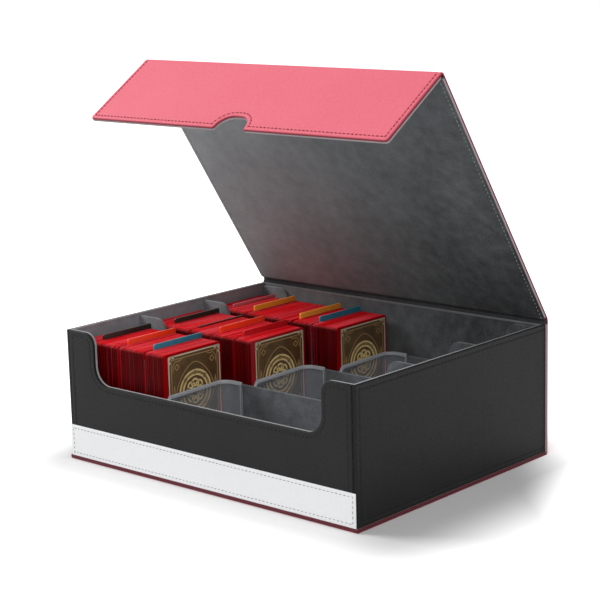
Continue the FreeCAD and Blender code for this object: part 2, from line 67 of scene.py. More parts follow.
def add(tree, kind, inputs=None, out=None, onto=None, **settings):
    """One node in a tree; each of its inputs is a value, or an output that it is linked to.

    It gives the node's first output in use, or the one named, linked onto an input if asked.
    """
    made = tree.nodes.new(kind)
    for name, value in settings.items():
        setattr(made, name, value)
    for name, value in (inputs or {}).items():
        if isinstance(value, bpy.types.NodeSocket):
            tree.links.new(value, made.inputs[name])
        else:
            made.inputs[name].default_value = value
    given = made.outputs[out] if out else next((s for s in made.outputs if s.enabled), None)
    if onto is not None:
        tree.links.new(given, onto)
    return given


def finish_named(name, colour="#ffffff", **even):
    """A new material, its tree and its shader's inputs, set to what is even all over it."""
    made = bpy.data.materials.new(name)
    made.use_nodes = True
    surface = made.node_tree.nodes["Principled BSDF"].inputs
    surface["Base Color"].default_value = linear(colour)
    for word, value in even.items():
        surface[word.replace("_", " ")].default_value = value
    return made, made.node_tree, surface


def patterned(name, grain, tones=None, gloss=None, detail=2.0, stretch=None, **even):
    """A finish whose colour or roughness follows patches, their grain in millimetres.

    It gives the material, its tree, its shader's inputs and the patches.
    """
    made, tree, surface = finish_named(name, **even)
    place = add(tree, "ShaderNodeTexCoord", out="Object")
    if stretch:
        place = add(tree, "ShaderNodeMapping", {"Vector": place, "Scale": stretch})
    patches = add(tree, "ShaderNodeTexNoise",
                  {"Vector": place, "Scale": 1000 / grain, "Detail": detail})
    if tones:
        add(tree, "ShaderNodeMix", {0: patches, 6: linear(tones[0]), 7: linear(tones[1])},
            onto=surface["Base Color"], data_type="RGBA")
    if gloss:
        add(tree, "ShaderNodeMapRange", {"Value": patches, "To Min": gloss[0], "To Max": gloss[1]},
            onto=surface["Roughness"])
    return made, tree, surface, patches


# recycled pulp: matt, with grey and brown flecks about 2 mm across in a felted surface
grey_board, tree, surface, flecks = patterned(
    "pressed_grey_board", 2.2, ("#978f82", "#645f58"), detail=6.0, Roughness=0.92)
add(tree, "ShaderNodeBump", {"Height": flecks, "Strength": 0.3, "Distance": 0.0001},
    onto=surface["Normal"])
for name, node in frame["nodes"].items():
    if name.endswith("_board") or name.startswith("tray_"):
        node.material_slots[0].material = grey_board


# ---- Magnets ----
# Two flat discs are let into the flap board and two into the tray's front board, to hold the
# closed flap. They are sintered iron alloy, nickel plated and then tumbled.

# nickel plate: a warm grey mirror, dulled by tumbling marks about 0.8 mm long
nickel = patterned("nickel_plated_magnet", 0.8, gloss=(0.2, 0.44), colour="#b9b6ae",
                   Metallic=1.0)[0]
for name in ("front_magnets", "flap_magnets"):
    frame["nodes"][name].material_slots[0].material = nickel


# ---- Cover leather ----
# One sheet of coral-red imitation leather wraps the base, back, lid and flap boards. It is
# turned in over their edges and sewn down, so each edge is a soft roll with a stitch line
# in a shallow valley behind it.

# a millimetre, and the tightest that a corner turns, in millimetres
MM, TIGHTEST = 0.001, 0.05


def extent(node):
    """The low and the high corner of a node's box, in millimetres."""
    return [corner * 1000 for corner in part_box(node)]


def meet(first, u, second, v):
    """Where two straight lines, each a point and a way, cross."""
    gap = second - first
    return first + u * ((gap.x * v.y - gap.y * v.x) / (u.x * v.y - u.y * v.x))


def outline(corners, inset, closed=True, steps=12):
    """Points along a shape of (across, up, radius) corners, its sides moved to their left.

    The side after a corner that is marked plain isn't moved.
    """
    sides = []
    for n, here in enumerate(corners):
        there = corners[(n + 1) % len(corners)]
        along = Vector((there[0] - here[0], there[1] - here[1])).normalized()
        left = Vector((-along.y, along.x))
        moved = 0 if len(here) > 3 else inset
        sides.append((Vector(here[:2]) + left * moved, along, left))
    points = []
    for n, corner in enumerate(corners):
        (first, u, left), (second, v, _) = sides[n - 1], sides[n]
        if not closed and n == 0:
            points.append(second)
        elif not closed and n == len(corners) - 1:
            points.append(Vector(corner[:2]) + left * inset)
        elif not corner[2]:
            points.append(meet(first, u, second, v))
        else:
            way = 1 if u.x * v.y > u.y * v.x else -1
            radius = max(corner[2] - way * inset, TIGHTEST)
            turn = math.acos(max(-1, min(1, u.dot(v))))
            start = meet(first, u, second, v) - u * radius * math.tan(turn / 2)
            centre = start + Vector((-u.y, u.x)) * radius * way
            for k in range(steps + 1):
                spoke = start - centre
                spoke.rotate(Matrix.Rotation(way * turn * k / steps, 2))
                points.append(centre + spoke)
    return points


def in_scene(name, data):
    """A new object in the scene."""
    made = bpy.data.objects.new(name, data)
    bpy.context.scene.collection.objects.link(made)
    return made


def settle(mesh, name, body, slot, *nodes, crease=38):
    """A finished mesh as a piece on a body, for some nodes; the finish of the record that it is
    given is not used.

    Its edges that turn by more than the crease, in degrees, stay sharp.
    """
    mesh.name = name
    mesh.shade_smooth()
    mesh.set_sharp_from_angle(angle=math.radians(crease))
    piece = in_scene(name, mesh)
    if body:
        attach(piece, body)
    if nodes:
        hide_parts(*nodes)
    return piece


# the depth below the face, in millimetres, at which leather takes the full painted shade of its
# edge colour
FULL_EDGE_SHADE = 0.9


def solid(name, form, finish, body, slot, *nodes):
    """A closed mesh from (x, y, z, depth) points in millimetres and faces, on a body."""
    points, faces = form
    shape = bmesh.new()
    corners = [shape.verts.new(Vector(p[:3]) * MM) for p in points]
    for face in faces:
        shape.faces.new([corners[n] for n in face])
    bmesh.ops.recalc_face_normals(shape, faces=shape.faces)
    mesh = bpy.data.meshes.new(name)
    shape.to_mesh(mesh)
    shape.free()
    # how deep each point lies, as its share of the edge colour's painted shade
    turned = mesh.attributes.new("turned", "FLOAT", "POINT")
    turned.data.foreach_set("value", [max(0.0, min(1.0, p[3] / FULL_EDGE_SHADE)) for p in points])
    mesh.materials.append(finish)
    return settle(mesh, name, body, slot, *nodes)


def skinned(lines, closed=False, plain=False):
    """Lines of points, each joined to the next and the last to the first.

    Open lines get a cap at their ends. A plain form gets one flat face from last to first.
    """
    rows, count = len(lines[0]), len(lines)
    faces = [] if closed else [[n * rows + k for n in range(count)] for k in (0, rows - 1)]
    for n in range(count - plain):
        here, there = n * rows, (n + 1) % count * rows
        faces += [(here + k, there + k, there + (k + 1) % rows, here + (k + 1) % rows)
                  for k in range(rows - 1 + closed)]
    if plain:
        last = (count - 1) * rows
        faces.append([*range(rows), *reversed(range(last, last + rows))])
    return [p for line in lines for p in line], faces


def wrapped(corners, profile, place):
    """A panel: a profile of (inset, depth) carried round its outline.

    Where the outline's last side is marked plain, it has no edge, for a next panel goes on.
    """
    rings = [[(*place(p.x, p.y, depth), depth) for p in outline(corners, inset)]
             for inset, depth in profile]
    return skinned(list(zip(*rings)), plain=len(corners[-1]) > 3)


def lofted(section, chain):
    """A section of (across, depth) points carried along a chain of (y, z, radius) points."""
    return skinned([[(x, p.x, p.y, depth) for p in outline(chain, depth, False)]
                    for x, depth in section])


def both_edges(profile, half):
    """A cross-section with a profile's edge at its left and, mirrored, at its right."""
    left = [(inset - half, depth) for inset, depth in profile]
    right = [(half - inset, depth) for inset, depth in reversed(profile)]
    return left + right


def layered(tree, place, total, *layers):
    """Noises of (grain in millimetres, detail, weight) added to a total, and each of them."""
    noises = []
    for grain, detail, weight in layers:
        noises.append(add(tree, "ShaderNodeTexNoise",
                          {"Vector": place, "Scale": 1000 / grain, "Detail": detail}))
        total = add(tree, "ShaderNodeMath", {0: noises[-1], 1: weight, 2: total},
                    operation="MULTIPLY_ADD")
    return total, noises


def embossed_leather(name, raised, sunk, edge, gloss, shine):
    """PU film embossed with a pebble of about 1.1 mm; sunk spots are darker and duller.

    Over an edge or down in a seam's valley it takes a deeper colour: painted shade.
    """
    made, tree, surface = finish_named(name, Specular_IOR_Level=shine)
    place = add(tree, "ShaderNodeTexCoord", out="Object")
    pebble = add(tree, "ShaderNodeTexVoronoi", {"Vector": place, "Scale": 1000 / 1.1},
                 feature="SMOOTH_F1")
    share = add(tree, "ShaderNodeMath", {0: pebble, 1: 0.6}, operation="MULTIPLY")
    share, (pores, _) = layered(tree, place, share, (0.5, 2.0, 0.35), (45, 4.0, 0.3))
    tone = add(tree, "ShaderNodeMix", {0: share, 6: linear(raised), 7: linear(sunk)},
               data_type="RGBA")
    edge_shade_share = add(tree, "ShaderNodeAttribute", out="Fac", attribute_name="turned")
    add(tree, "ShaderNodeMix", {0: edge_shade_share, 6: tone, 7: linear(edge)},
        onto=surface["Base Color"], data_type="RGBA")
    add(tree, "ShaderNodeMapRange", {"Value": share, "To Min": gloss, "To Max": gloss + 0.16},
        onto=surface["Roughness"])
    grain = add(tree, "ShaderNodeBump",
                {"Height": pebble, "Strength": 0.5, "Distance": 0.00012}, invert=True)
    add(tree, "ShaderNodeBump",
        {"Height": pores, "Strength": 0.3, "Distance": 0.00006, "Normal": grain},
        onto=surface["Normal"])
    return made


# the edges take a deeper red as painted shade; the base's is a dark maroon, more painted shade,
# and the back panel's a pale mauve, painted light
red_leather, shaded_edge_leather, lit_edge_leather = (
    embossed_leather(f"{leather_variant}_coral_leather", "#eb7889", "#dc5f70", edge, 0.5, 0.3)
    for leather_variant, edge in (("embossed", "#8c2434"), ("edge_inked", "#571a26"),
                            ("edge_rubbed", "#b4949b")))

# (inset, depth) of the wrap, from its turned-in inside over the edge to behind the seam
LEATHER, BOARD_FOOT, SEAM_IN, TURNED = 0.8, 3.2, 3.7, 1.9
rolled_face = [(0, 1.4), (0.09, 0.86), (0.4, 0.4), (0.95, 0.1), (1.7, 0), (2.5, 0.02),
               (3.2, 0.12), (SEAM_IN, 0.34), (4.2, 0.12), (4.7, 0.02), (5.4, 0)]
base_edge = [(LEATHER, LEATHER), (LEATHER, BOARD_FOOT), (0.55, BOARD_FOOT), (0.16, 3.04),
             (0, 2.65), *rolled_face]
# on the lid and the flap it ends under the lining's edge
rolled_edge = [(LEATHER, LEATHER), (LEATHER, TURNED), (0.4, TURNED), (0.08, TURNED - 0.1),
               (0, TURNED - 0.3), *rolled_face]

low, high = extent("base_leather")
HALF_COVER, COVER_FRONT, COVER_BACK = high.x, low.y, extent("back_leather")[1].y
joints = {joint["name"]: joint for joint in frame["joints"]}
hinge = Vector(joints["lid_hinge"]["pos_m"][1:]) * 1000
fold = Vector(joints["flap_fold"]["pos_m"][1:]) * 1000
lid_way = (fold - hinge).normalized()
lid_out = Vector((lid_way.y, -lid_way.x))
flap_way, up = -lid_out, Vector((0, 1))

# how far from the two hinges' lines the boards' wraps end, and where the base's ends
HINGE_GAP, CREASE_GAP, FLAP_LONG, BASE_END = 4, 5, 78, 2.5
near = hinge + lid_way * HINGE_GAP + lid_out * LEATHER / 2
far = fold - lid_way * CREASE_GAP + lid_out * LEATHER / 2
flap_face = fold + lid_way * LEATHER / 2
flap_top = flap_face + flap_way * CREASE_GAP
back_top = Vector((COVER_BACK, hinge.y - HINGE_GAP))
hinge_corner = meet(back_top, up, near, lid_way)
fold_corner = meet(far, lid_way, flap_top, flap_way)

# the base, whose back edge goes on into the back panel round a rounded foot
BASE_CORNER, FOOT_ROUND = 0.9, 2.2
base_corners = [
    (HALF_COVER, BASE_END - COVER_BACK, 0), (HALF_COVER, -COVER_FRONT, BASE_CORNER),
    (-HALF_COVER, -COVER_FRONT, BASE_CORNER), (-HALF_COVER, BASE_END - COVER_BACK, 0, "plain"),
]
solid("base_wrap", wrapped(base_corners, base_edge, lambda x, y, depth: (x, -y, depth)),
      shaded_edge_leather, "box", "red_leather", "base_leather")

back_chain = [(COVER_BACK - BASE_END, 0, 0), (COVER_BACK, 0, FOOT_ROUND), (*back_top, 0)]
solid("back_wrap", lofted(both_edges(base_edge, HALF_COVER), back_chain), lit_edge_leather,
      "box", "red_leather", "back_leather")

lid_chain = [(*near, 0), (*far, 0)]
solid("lid_wrap", lofted(both_edges(rolled_edge, HALF_COVER), lid_chain), red_leather,
      "lid", "red_leather", "lid_leather")

# the finger notch in the flap's free edge, and the radii of its mouth and of the corners
NOTCH_HALF, NOTCH_DEEP, NOTCH_ROUND, MOUTH_ROUND, FLAP_CORNER = 15.2, 14.6, 12.4, 2, 3
notch_top = NOTCH_DEEP - FLAP_LONG
flap_corners = [
    (-HALF_COVER, -CREASE_GAP, 0), (-HALF_COVER, -FLAP_LONG, FLAP_CORNER),
    (-NOTCH_HALF, -FLAP_LONG, MOUTH_ROUND), (-NOTCH_HALF, notch_top, NOTCH_ROUND),
    (NOTCH_HALF, notch_top, NOTCH_ROUND), (NOTCH_HALF, -FLAP_LONG, MOUTH_ROUND),
    (HALF_COVER, -FLAP_LONG, FLAP_CORNER), (HALF_COVER, -CREASE_GAP, 0, "plain"),
]


def on_flap(x, up, depth):
    """A point of the flap, from its height above the fold and its depth in from the face."""
    at = flap_face - flap_way * up - lid_way * depth
    return x, at.x, at.y


solid("flap_wrap", wrapped(flap_corners, rolled_edge, on_flap), red_leather, "flap",
      "red_leather", "flap_leather")


def bending(name, section, first, corner, last, finish, slot, node):
    """A strip over a living hinge, round a corner of (y, z) and a radius.

    It bends in the middle share between its ends.
    """
    strip = solid(name, lofted(section, [(*first, 0), corner, (*last, 0)]), finish, None, slot,
                  node)
    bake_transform(strip)


# over the two folds there is no board: the leather is doubled at its sides and bends
bare_edge = [(1.5, LEATHER), (1.1, 1.7), (0.6, 2.05), (0.2, 1.95), (0, 1.7), *rolled_face]
bare_section = both_edges(bare_edge, HALF_COVER)
bending("back_hinge_strip", bare_section, back_top, (*hinge_corner, 9), near,
        red_leather, "red_leather", "back_hinge_leather")
bending("flap_hinge_strip", bare_section, far, (*fold_corner, 2.9), flap_top,
        red_leather, "red_leather", "flap_hinge_leather")


# ---- Cover lining ----
# Grey microsuede lines the lid and the flap. It is cut a little short of the leather's turned
# edge and sewn through with it; over the two folds it is pressed in between the boards.

def brushed_suede(name, raised, laid, lit_way=(0, 0, 0)):
    """Napped polyester: tufts of 0.8 mm, patches where a hand has turned the nap over.

    Along a given way it grows paler and paler: a painted gradient of light, lighter towards the
    lamps.
    """
    made, tree, surface = finish_named(name, Roughness=0.95, Specular_IOR_Level=0.12,
                                       Sheen_Weight=0.25, Sheen_Roughness=0.5)
    place = add(tree, "ShaderNodeTexCoord", out="Object")
    share = add(tree, "ShaderNodeVectorMath", {0: place, 1: lit_way}, operation="DOT_PRODUCT")
    share, (_, patches, tufts) = layered(tree, place, share, (60, 3.0, 0.45), (9, 4.0, 0.4),
                                         (0.8, 2.0, 0.45))
    share = add(tree, "ShaderNodeMapRange",
                {"Value": share, "From Min": 0.42, "From Max": 1.82})
    add(tree, "ShaderNodeMix", {0: share, 6: linear(laid), 7: linear(raised)},
        onto=surface["Base Color"], data_type="RGBA")
    nap = add(tree, "ShaderNodeBump", {"Height": tufts, "Strength": 0.5, "Distance": 0.0002})
    add(tree, "ShaderNodeBump",
        {"Height": patches, "Strength": 0.12, "Distance": 0.0008, "Normal": nap},
        onto=surface["Normal"])
    return made


# the cover's lining grows paler towards the upper left: painted light
grey_suede = brushed_suede("brushed_grey_microsuede", "#adb6b9", "#292b2d", (-2.6, 0, 1.6))
# the lining pressed in at the back fold is a darker copy: painted shade in that crease
shaded_hinge_suede = brushed_suede("creased_grey_microsuede", "#6c6e71", "#28292b")
# the cut edge is a pale pinkish grey: a painted highlight
lit_edge_suede = brushed_suede("cut_edge_of_microsuede", "#e2d3d7", "#ab9a9f")

SUEDE_FACE = BOARD_FOOT + 0.8
suede_edge = [
    (LEATHER, BOARD_FOOT), (LEATHER, TURNED + 0.05), (0.35, TURNED + 0.05),
    (0.1, TURNED + 0.25), (0.06, 3.2), (0.35, 3.75), (1.0, SUEDE_FACE), (2.6, SUEDE_FACE - 0.04),
    (3.2, SUEDE_FACE - 0.14), (SEAM_IN, SUEDE_FACE - 0.38), (4.2, SUEDE_FACE - 0.14),
    (4.8, SUEDE_FACE), (5.6, SUEDE_FACE),
]
lid_lining = solid("lid_lining", lofted(both_edges(suede_edge, HALF_COVER), lid_chain),
                   grey_suede, "lid", "grey_suede", "lid_suede")
flap_lining = solid("flap_lining", wrapped(flap_corners, suede_edge, on_flap), grey_suede,
                    "flap", "grey_suede", "flap_suede")
# faces that look neither into the cover nor out of it, its edges, take that paler copy: painted
# highlight
for lining, facing in ((lid_lining, lid_out), (flap_lining, lid_way)):
    lining.data.materials.append(lit_edge_suede)
    for face in lining.data.polygons:
        if abs(face.normal.y * facing.x + face.normal.z * facing.y) < 0.5:
            face.material_index = 1

pressed_edge = both_edges([(LEATHER, -0.8), (LEATHER, -0.3), (1.1, 0), (3.8, 0)], HALF_COVER)
# how deep it is pressed in under the leather at each fold
BACK_PRESSED, FLAP_PRESSED = 2.2, 2.8
back_lining = back_top - Vector((SUEDE_FACE, 0))
near_lining, far_lining = near - lid_out * SUEDE_FACE, far - lid_out * SUEDE_FACE
top_lining = flap_top - lid_way * SUEDE_FACE
valley = meet(back_top - Vector((BACK_PRESSED, 0)), up, near - lid_out * BACK_PRESSED, lid_way)
bending("back_hinge_lining", pressed_edge, back_lining, (*valley, 2), near_lining,
        shaded_hinge_suede, "grey_suede", "back_hinge_suede")
valley = meet(far - lid_out * FLAP_PRESSED, lid_way, flap_top - lid_way * FLAP_PRESSED,
              flap_way)
bending("flap_hinge_lining", pressed_edge, far_lining, (*valley, 0.8), top_lining,
        grey_suede, "grey_suede", "flap_hinge_suede")


# ---- Seams of the cover ----
# A lockstitch in dark red thread, 3.8 mm long, runs in the valley behind each rolled edge.
# Its bobbin thread, a mid grey, shows on the linings.

def node_tree(name, result, **inputs):
    """A geometry tree with named inputs of some kinds, and what they give."""
    tree = bpy.data.node_groups.new(name, "GeometryNodeTree")
    tree.is_modifier = True
    for word, kind in inputs.items():
        tree.interface.new_socket(word.replace("_", " "), in_out="INPUT",
                                  socket_type=f"NodeSocket{kind}")
    tree.interface.new_socket(result, in_out="OUTPUT", socket_type="NodeSocketGeometry")
    return tree, tree.nodes.new("NodeGroupInput").outputs


stitching, given = node_tree("lockstitch", "Stitches", Seam="Geometry", Pitch="Float",
                             Stitch_Long="Float", Thread_Thick="Float", Thread="Material",
                             Seed="Int")
line = add(stitching, "GeometryNodeMeshToCurve", {"Mesh": given["Seam"]})
holes = add(stitching, "GeometryNodeResampleCurve",
            {"Curve": line, "Length": given["Pitch"]}, mode="LENGTH")
bead = add(stitching, "GeometryNodeMeshUVSphere", {"Segments": 6, "Rings": 5, "Radius": 0.5})
size = add(stitching, "ShaderNodeCombineXYZ",
           {0: given["Thread Thick"], 1: given["Thread Thick"], 2: given["Stitch Long"]})
stitch = add(stitching, "GeometryNodeTransform", {"Geometry": bead, "Scale": size})
way = add(stitching, "GeometryNodeInputTangent")
lie = add(stitching, "FunctionNodeAlignRotationToVector", {"Vector": way}, axis="Z")
# some stitches are pulled tighter than others
pull = add(stitching, "FunctionNodeRandomValue", {2: 0.88, 3: 1.06, "Seed": given["Seed"]})
sewn = add(stitching, "GeometryNodeInstanceOnPoints",
           {"Points": holes, "Instance": stitch, "Rotation": lie, "Scale": pull})
real = add(stitching, "GeometryNodeRealizeInstances", {"Geometry": sewn})
dyed = add(stitching, "GeometryNodeSetMaterial",
           {"Geometry": real, "Material": given["Thread"]})
add(stitching, "NodeGroupOutput", {0: dyed})


def worked(mesh, kind, settings, inputs=()):
    """The plain mesh that one modifier makes of a mesh."""
    bed = in_scene(mesh.name, mesh)
    work = bed.modifiers.new("work", kind)
    for name, value in settings.items():
        setattr(work, name, value)
    for identifier, value in inputs:
        work[identifier] = value
    ready = bed.evaluated_get(bpy.context.evaluated_depsgraph_get())
    made = bpy.data.meshes.new_from_object(ready)
    bed.modifiers.remove(work)
    bpy.data.objects.remove(bed)
    bpy.data.meshes.remove(mesh)
    return made


def grown(name, chains, tree, **inputs):
    """The plain mesh that a node tree makes along chains of points in millimetres."""
    points = [Vector(p) * MM for chain in chains for p in chain]
    edges, start = [], 0
    for chain in chains:
        edges += [(n, n + 1) for n in range(start, start + len(chain) - 1)]
        start += len(chain)
    mesh = bpy.data.meshes.new(name)
    mesh.from_pydata(points, edges, [])
    words = {item.name.replace(" ", "_"): item.identifier
             for item in tree.interface.items_tree if item.in_out == "INPUT"}
    return worked(mesh, "NODES", {"node_group": tree},
                  [(words[word], value) for word, value in inputs.items()])


STITCH_PITCH, STITCH_LONG = 3.8, 2.3


def seam(name, chains, body, seed, thread, slot, thick):
    """Stitches along chains of points, as one piece on a body."""
    mesh = grown(name, chains, stitching, Pitch=STITCH_PITCH * MM,
                 Stitch_Long=STITCH_LONG * MM, Thread_Thick=thick * MM, Thread=thread,
                 Seed=seed)
    return settle(mesh, name, body, slot, crease=80)


def twisted_thread(name, colour, hollow):
    """Spun polyester: satin, its three plies a ripple of light and dark 0.5 mm long."""
    return patterned(name, 0.5, (colour, hollow), detail=1.0, Roughness=0.6,
                     Specular_IOR_Level=0.3)[0]


# each thread with its finish in the record and its thickness
red_thread = twisted_thread("dark_red_thread", "#9a1b31", "#6c101f"), "red_leather", 1.2
grey_thread = twisted_thread("grey_bobbin_thread", "#a6acaa", "#7e8482"), "grey_suede", 0.85

SEAT = 0.2
both_seams = SEAM_IN - HALF_COVER, HALF_COVER - SEAM_IN


def along(chain, x, depth):
    """A seam's points at one place across a panel that follows a chain."""
    return [(x, p.x, p.y) for p in outline(chain, depth, False)]


flap_line = outline(flap_corners, SEAM_IN)
foot_chain = [(COVER_BACK, SEAM_IN, 0), (*back_top, 0)]
seam("flap_seam", [[on_flap(p.x, p.y, SEAT) for p in flap_line]], "flap", 1, *red_thread)
seam("lid_seam", [along(lid_chain, x, SEAT) for x in both_seams], "lid", 2, *red_thread)
seam("back_seam", [along(foot_chain, x, SEAT) for x in both_seams], "box", 3, *red_thread)
# the linings close up at the fold, so their seams begin a little farther from it
FOLD_ROOM = 4
lining_chain = [(*near, 0), (*(far - lid_way * FOLD_ROOM), 0)]
seam("flap_bobbin_seam", [[on_flap(p.x, min(p.y, -CREASE_GAP - FOLD_ROOM), SUEDE_FACE - SEAT)
                           for p in flap_line]], "flap", 4, *grey_thread)
seam("lid_bobbin_seam", [along(lining_chain, x, SUEDE_FACE - SEAT) for x in both_seams],
     "lid", 5, *grey_thread)


# ---- Tray leather ----
# Black imitation leather covers the tray's front and sides. The front sheet stops just short
# of the corners, where the side sheets come round, and leaves a dark groove.

# its edge colour, near black, is painted shade in the corner grooves, the seams' valleys and along
# turned edges
black_leather = embossed_leather("embossed_black_leather", "#242425", "#121213", "#040404",
                                 0.46, 0.16)

low, high = extent("front_leather")
HALF_TRAY, FRONT, FOOT, RIM = high.x, low.y, low.z, high.z
TRAY_BACK = extent("left_leather")[1].y
GROOVE, FRONT_END, DIP, DIP_SHOULDER, DIP_ROUND, SHEET_SEAM = 3.6, 32, 41.5, 10, 15, 3.8
# (inset, depth), from the glued edge to behind the seam
sewn_face = [(2.6, 0.02), (3.3, 0.12), (SHEET_SEAM, 0.36), (4.3, 0.12), (4.8, 0.02), (5.4, 0)]
sheet_edge = [(0, LEATHER), (0, 0.7), (0.1, 0.42), (0.4, 0.12), (0.9, 0), *sewn_face]
dip_end = HALF_TRAY - FRONT_END
dip = [(dip_end, RIM, DIP_SHOULDER), (dip_end, RIM - DIP, DIP_ROUND),
       (-dip_end, RIM - DIP, DIP_ROUND), (-dip_end, RIM, DIP_SHOULDER)]
half_sheet = HALF_TRAY - GROOVE
front_corners = [(half_sheet, FOOT, 0), (half_sheet, RIM, 0), *dip, (-half_sheet, RIM, 0),
                 (-half_sheet, FOOT, 0, "plain")]
solid("front_sheet",
      wrapped(front_corners, sheet_edge, lambda x, z, depth: (x, FRONT + depth, z)),
      black_leather, "box", "black_leather", "front_leather")

# the side sheets lap the front board's ends and are the floor of the groove
LAP_WIDE, LAP_SUNK = 3.5, 0.68
lapped_edge = [(0.1, LEATHER), (0.1, LAP_WIDE), (0.04, LAP_WIDE), (0, LAP_WIDE - 0.1), (0, 0.6),
               (0.1, 0.25), (0.35, 0.03), (0.9, 0), *sewn_face]
lap_face = FRONT + LAP_SUNK
side_corners = [(TRAY_BACK, RIM, 0), (lap_face, RIM, 0), (lap_face, FOOT, 0),
                (TRAY_BACK, FOOT, 0, "plain")]
for side, way in (("left", -1), ("right", 1)):
    solid(f"{side}_sheet",
          wrapped(side_corners, lapped_edge,
                  lambda y, z, depth: (way * (HALF_TRAY - depth), y, z)),
          black_leather, "box", "black_leather", f"{side}_leather")


# ---- White band ----
# A plain band of white imitation leather is sewn over the foot of the front. Its edge and its
# seam's valley are a little greyer, painted shade, and the stitches pull it down a little all
# round.

white_leather = embossed_leather("embossed_white_leather", "#fafafa", "#ebecee", "#d5d7da",
                                 0.4, 0.35)

low, high = extent("front_band")
BAND_SEAM, BAND_IN = 2.8, 0.9
band_edge = [(0, 0.6), (0, 0.3), (0.1, 0.08), (0.35, 0), (BAND_SEAM - 0.7, 0),
             (BAND_SEAM - 0.35, 0.03), (BAND_SEAM, 0.16), (BAND_SEAM + 0.35, 0.03),
             (BAND_SEAM + 0.7, 0), (BAND_SEAM + 1.4, 0)]
band_half = HALF_TRAY - BAND_IN
band_corners = [(-band_half, low.z, 0), (band_half, low.z, 0), (band_half, high.z, 0),
                (-band_half, high.z, 0)]
solid("white_band",
      wrapped(band_corners, band_edge, lambda x, z, depth: (x, low.y + depth, z)),
      white_leather, "box", "white_leather", "front_band")


# ---- Seams of the tray ----
# The same lockstitch holds the tray's sheets: black thread along the front's dip and corners
# and along the sides, and a finer pale grey thread round the white band.

black_thread = twisted_thread("black_thread", "#0d0d0e", "#050506"), "black_leather", 0.95
pale_thread = twisted_thread("pale_grey_thread", "#a4a6ab", "#7c7e84"), "white_leather", 0.6

BAND_SEAT = 0.05
side_line = outline(side_corners, SHEET_SEAM)[:3]
band_line = outline(band_corners, BAND_SEAM)
seam("front_seam", [[(p.x, FRONT + SEAT, p.y) for p in outline(front_corners, SHEET_SEAM)]],
     "box", 6, *black_thread)
seam("side_seams", [[(way * (HALF_TRAY - SEAT), p.x, p.y) for p in side_line]
                    for way in (-1, 1)], "box", 7, *black_thread)
seam("band_seam", [[(p.x, low.y + BAND_SEAT, p.y) for p in band_line + band_line[:1]]],
     "box", 8, *pale_thread)


# ---- Tray lining ----
# The tray is lined with the same microsuede, glued to the boards. A separate strip of it is
# folded over the walls' tops as far as the leather's turned edge, and shows as a pale line
# all round and along the front's dip. That paleness, and the paler copies on the left wall
# and the partitions, are painted light.

def softened(node, finish, slot, body, width):
    """A copy of a node, its loose triangles merged and its edges rounded by a width."""
    shape = bmesh.new()
    shape.from_mesh(frame["nodes"][node].data)
    bmesh.ops.remove_doubles(shape, verts=shape.verts, dist=0.02 * MM)
    bmesh.ops.dissolve_limit(shape, angle_limit=math.radians(0.4), verts=shape.verts,
                             edges=shape.edges)
    bmesh.ops.recalc_face_normals(shape, faces=shape.faces)
    mesh = bpy.data.meshes.new(node)
    shape.to_mesh(mesh)
    shape.free()
    mesh.materials.clear()
    mesh.materials.append(finish)
    made = worked(mesh, "BEVEL", {"width": width * MM, "segments": 2,
                                  "limit_method": "ANGLE", "angle_limit": math.radians(40)})
    return settle(made, f"{node}_piece", body, slot, node, crease=50)


# the walls' and floor's suede grows paler towards the left: painted light
tray_suede = brushed_suede("brushed_tray_microsuede", "#a4a7ab", "#393a3c", (-1, 0, 0))
# the left wall's suede is a paler copy: painted light on that wall
lit_left_wall_suede = brushed_suede("raised_side_microsuede", "#bec9cf", "#757b80")
# the partitions' suede is a paler copy, paler still to the left: painted light
lit_partition_suede = brushed_suede("wrapped_partition_microsuede", "#b2b8bd", "#404346", (-1, 0, 0))
# the strip over the walls' tops is a much paler copy, paler still towards the front: painted light
# from above
lit_rim_suede = brushed_suede("folded_light_microsuede", "#dedee0", "#707072", (0, -2, 0))
for wall in ("front", "back", "left", "right", "floor"):
    softened(f"{wall}_suede", lit_left_wall_suede if wall == "left" else tray_suede, "grey_suede",
             "box", 0.25)

# the lined walls' thickness, and (place across the wall's top, depth below it) of the strip
# and of the leather's turned edge
WALL, BACK_WALL = 4.0, 3.2
suede_section = [(0.6, 0.8), (0.6, 0.06), (0.54, -0.06), (0.4, -0.12), (0.2, -0.12),
                 (0.06, -0.06), (-0.03, 0.12), (-0.04, 0.5), (-0.04, 1.1), (0.02, 1.3),
                 (0.24, 1.3), (0.24, 0.8)]
turned_section = [(1.0, 0.8), (1.0, 0.1), (0.97, -0.04), (0.86, -0.08), (0.7, -0.08),
                  (0.64, 0.0), (0.62, 0.1), (0.62, 0.8)]


def rim_line(share, depth):
    """One line of the folded strip, from its place across the wall and its depth."""
    x, front, back = (inner + (outer - inner) * share for inner, outer in (
        (HALF_TRAY - WALL, HALF_TRAY - LEATHER), (FRONT + WALL, FRONT + LEATHER),
        (TRAY_BACK - BACK_WALL, TRAY_BACK)))
    dipped = outline([(HALF_TRAY, RIM, 0), *dip, (-HALF_TRAY, RIM, 0)], depth, False)[1:-1]
    top = RIM - depth
    return [(x, back, top, 0), (x, front, top, 0), *[(p.x, front, p.y, 0) for p in dipped],
            (-x, front, top, 0), (-x, back, top, 0)]


for name, section, finish, slot in (
    ("rim_strip", suede_section, lit_rim_suede, "grey_suede"),
    ("rim_turning", turned_section, black_leather, "black_leather"),
):
    form = skinned([rim_line(*at) for at in section], closed=True)
    solid(name, form, finish, "box", slot)


# ---- Partitions ----
# Three boards across the tray part its rows. Each is dipped in the middle, so that a finger
# reaches the cards, and suede is glued round it with its edges rounded over.

for row in ("front", "middle", "back"):
    softened(f"{row}_partition_suede", lit_partition_suede, "grey_suede", "box", 0.38)


# ---- Cards ----
# Each row holds cards in red sleeves of polypropylene film, open at the top. They stand on
# edge, pushed together by hand, so no two reach quite the same height.

